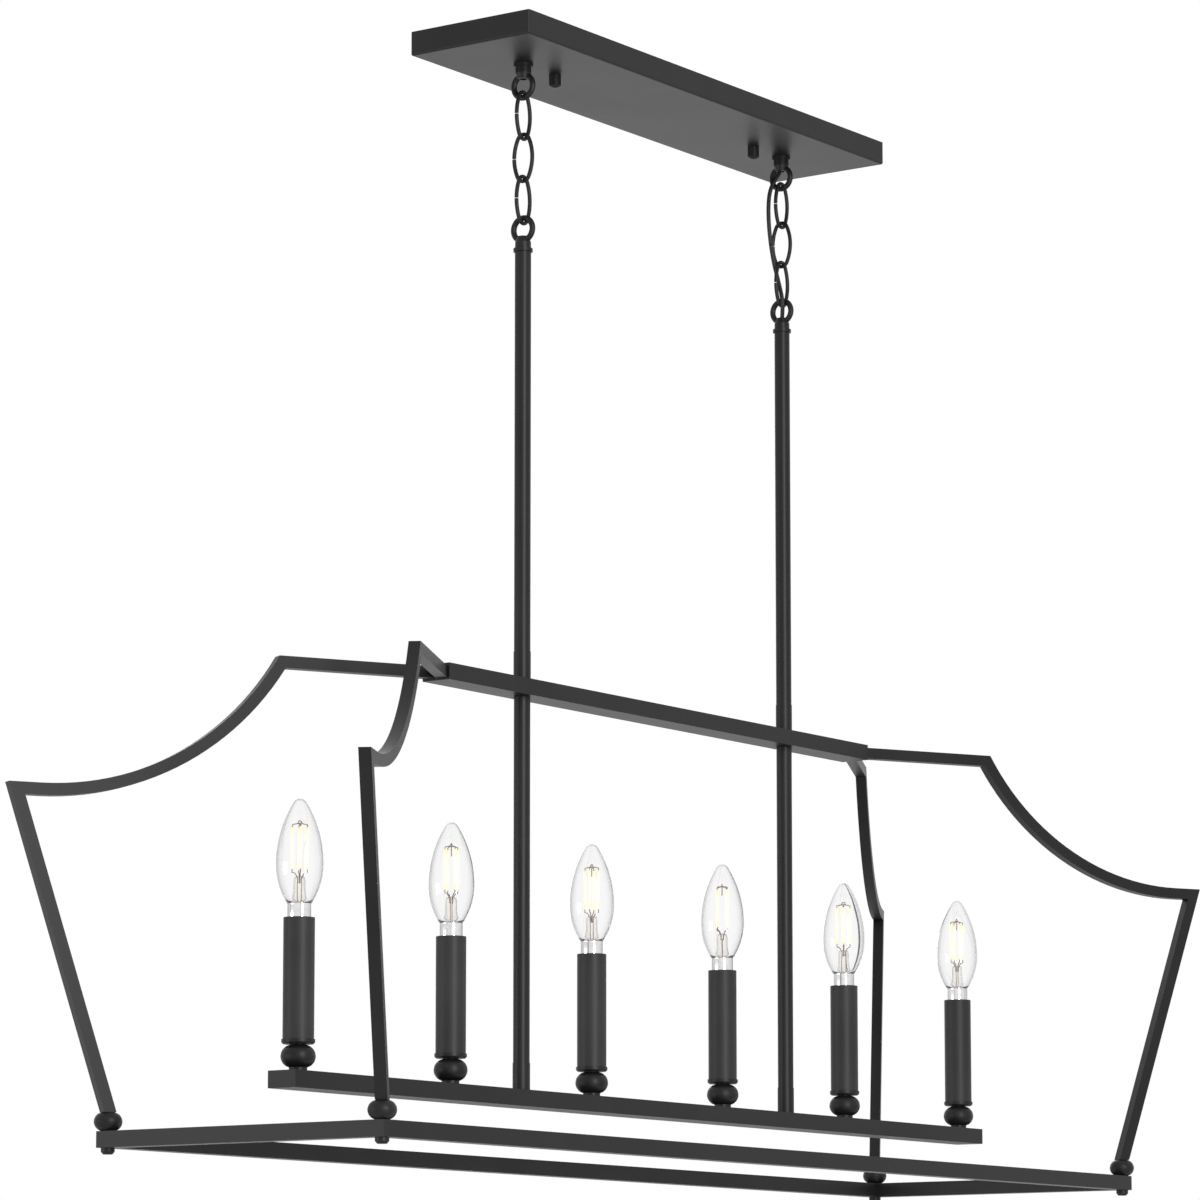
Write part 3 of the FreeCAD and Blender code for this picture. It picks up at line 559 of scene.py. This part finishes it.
def glass_outline():
    """(radius, height) up the lamp's glass, on the flare's, the belly's and the tip's arcs."""
    wide = BELLY - NECK
    flare = (wide ** 2 + WAIST ** 2) / (2 * wide)
    rise = TALL - TIP - WAIST
    sweep = (BELLY ** 2 + rise ** 2 - TIP ** 2) / (2 * (BELLY - TIP))
    turn = math.atan2(rise, sweep - BELLY)
    steps = []
    for k in range(FLARE_RINGS):
        z = WAIST * k / FLARE_RINGS
        steps.append((BELLY - flare + math.sqrt(flare ** 2 - (WAIST - z) ** 2), z))
    for k in range(BELLY_RINGS):
        a = turn * k / BELLY_RINGS
        steps.append((BELLY - sweep + sweep * math.cos(a), WAIST + sweep * math.sin(a)))
    for k in range(TIP_RINGS):
        a = turn + (math.pi / 2 - turn) * k / TIP_RINGS
        steps.append((TIP * math.cos(a), TALL - TIP + TIP * math.sin(a)))
    return steps


def blow_glass():
    outline = glass_outline()
    start_ring(*outline[0], 48)
    draw_up(outline)
    rest = TALL - outline[-1][1]
    bpy.ops.mesh.extrude_edges_move(TRANSFORM_OT_translate={"value": (0, 0, rest)})
    return thicken(end_shape("bulb", BULB_GLASS))


PRESS_OUTLINE = [(0.0072, 0.0), (0.0062, 0.0022), (0.0050, 0.0055), (0.0045, 0.009),
                 (0.0044, 0.013), (0.0044, 0.0165), (0.0038, 0.0192), (0.0020, 0.0203)]


def press_stem():
    """The glass flare and pinch inside the neck that hold the leads."""
    start_ring(*PRESS_OUTLINE[0], 32)
    draw_up(PRESS_OUTLINE)
    return thicken(end_shape("press", PRESS_GLASS))


ROD_TURNS = [math.radians(45 + 90 * k) for k in range(4)]
ROD_CIRCLE, ROD_LOW, ROD_HIGH = 0.0055, 0.0234, 0.057
ROD_RADIUS, ROD_ROUNDING = 0.00105, 0.0003
WIRE_ENDS = 0.003


def around(turn, radius, height):
    """The place at this turn and distance from the lamp's axis."""
    return (radius * math.cos(turn), radius * math.sin(turn), height)


def phosphor_rods():
    """Four upright rods, shorter than their stretch by the wires at both ends."""
    made = []
    for turn in ROD_TURNS:
        bpy.ops.object.select_all(action="DESELECT")
        bpy.ops.mesh.primitive_cylinder_add(
            vertices=14, radius=ROD_RADIUS, depth=ROD_HIGH - ROD_LOW - WIRE_ENDS,
            location=around(turn, ROD_CIRCLE, (ROD_LOW + ROD_HIGH) / 2))
        bpy.ops.object.mode_set(mode="EDIT")
        bpy.ops.mesh.select_all(action="SELECT")
        bpy.ops.mesh.bevel(offset=ROD_ROUNDING, segments=2)
        bpy.ops.object.mode_set(mode="OBJECT")
        bpy.ops.object.transform_apply(location=True, rotation=True, scale=True)
        made.append(bpy.context.object)
    rods = joined(made, "rods")
    bpy.ops.object.shade_smooth_by_angle(angle=0.7)
    rods.data.materials.append(PHOSPHOR)
    return rods


# (distance from the axis, height) along the wires at a rod's foot and over its head
FOOT_WIRE = [(0.0012, 0.0148), (0.0014, 0.0188), (0.0034, 0.022), (ROD_CIRCLE, 0.0227),
             (ROD_CIRCLE, ROD_LOW + 0.0016)]
HEAD_WIRE = [(ROD_CIRCLE, ROD_HIGH - 0.0017), (ROD_CIRCLE, ROD_HIGH + 0.0002),
             (0.0024, ROD_HIGH + 0.0008), (0, ROD_HIGH + 0.0011)]
LEAD_RADIUS, LEAD_X = 0.0003, 0.0024
LEAD_LOW, LEAD_HIGH = 0.002, 0.0155
POST_LOW, POST_HIGH = ROD_HIGH - 0.0065, ROD_HIGH + 0.0014
LOOP_RADIUS, LOOP_HEIGHT = 0.0021, ROD_HIGH + 0.0009


def lead_wires():
    """Leads through the press to each rod's foot, and a crossed carrier over their heads."""
    wires = [bent_wire([(x, 0, LEAD_LOW), (x, 0, LEAD_HIGH)], LEAD_RADIUS)
             for x in (-LEAD_X, LEAD_X)]
    for turn in ROD_TURNS:
        for line in (FOOT_WIRE, HEAD_WIRE):
            wires.append(bent_wire([around(turn, *spot) for spot in line]))
    wires.append(bent_wire([(0, 0, POST_LOW), (0, 0, POST_HIGH)]))
    loop = [(LOOP_RADIUS * math.cos(a), 0, LOOP_HEIGHT + LOOP_RADIUS * math.sin(a))
            for a in (math.pi * k / 8 for k in range(9))]
    wires.append(bent_wire(loop))
    leads = joined(wires, "leads")
    bpy.ops.object.shade_smooth()
    leads.data.materials.clear()
    leads.data.materials.append(WIRE)
    return leads


CONTACT = [(0.0024, -0.0176), (0.0026, -0.0164), (0.0048, -0.0160), (0.0057, -0.0150)]
COLLAR = [(0.0060, 0.0002), (0.0082, 0.0006), (0.00852, 0.0014), (0.0086, 0.0030),
          (0.0086, 0.0116), (0.0085, 0.0123), (0.00862, 0.0126), (0.0085, 0.01272)]
THREAD_RADIUS, THREAD_DEPTH, THREAD_PITCH = 0.0057, 0.0002, 0.0023
THREAD_LOW, THREAD_LENGTH, THREAD_RINGS = -0.0144, 0.0138, 18


def cap_shell():
    """Bright shell: the contact and the thread's turns, and a collar with a rolled lip."""
    steps = list(CONTACT)
    for k in range(THREAD_RINGS):
        z = THREAD_LOW + k * THREAD_LENGTH / (THREAD_RINGS - 1)
        wave = math.cos(2 * math.pi * z / THREAD_PITCH)
        steps.append((THREAD_RADIUS + THREAD_DEPTH * wave, z))
    steps += COLLAR
    start_ring(*steps[0], 40)
    bpy.ops.mesh.edge_face_add()
    bpy.ops.mesh.select_all(action="SELECT")
    draw_up(steps)
    bpy.ops.mesh.edge_face_add()
    bpy.ops.mesh.poke()
    return end_shape("cap", CAP, close=False)


def copy_to(master, name, place, turn, body, node=None):
    """A copy on the body, turned by so many degrees about its own upright axis."""
    piece = bpy.data.objects.new(name, master.data.copy())
    piece.data.name = name
    piece.data.transform(Matrix.Translation(place) @ Matrix.Rotation(math.radians(turn), 4, "Z"))
    scene.collection.objects.link(piece)
    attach(piece, body)
    if node:
        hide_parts(node)


LAMP_TURNS = (0, 22, 64, 38, 81, 12)
LIP_HEIGHT = 0.0127


def fit_lamps():
    """Six alike lamps, each screwed in to where its thread happened to stop."""
    bulb, press, rods, leads, cap = (
        blow_glass(), press_stem(), phosphor_rods(), lead_wires(), cap_shell())
    for k, turn in enumerate(LAMP_TURNS, 1):
        low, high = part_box("bulb_glass_%d" % k)
        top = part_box("bulb_base_%d" % k)[1][2]
        seat = Vector(((low[0] + high[0]) / 2, 0, low[2]))
        foot = Vector((seat.x, 0, top - LIP_HEIGHT))
        body = "bulb_%d" % k
        copy_to(bulb, "lamp_glass_%d" % k, seat, turn, body, "bulb_glass_%d" % k)
        copy_to(cap, "lamp_cap_%d" % k, foot, turn, body, "bulb_base_%d" % k)
        copy_to(rods, "lamp_rods_%d" % k, seat, turn, body,
                "bulb_filament_%d" % k)
        copy_to(press, "lamp_press_%d" % k, seat, turn, body)
        copy_to(leads, "lamp_leads_%d" % k, seat, turn, body)
    for master in (bulb, press, rods, leads, cap):
        bpy.data.objects.remove(master)


fit_lamps()
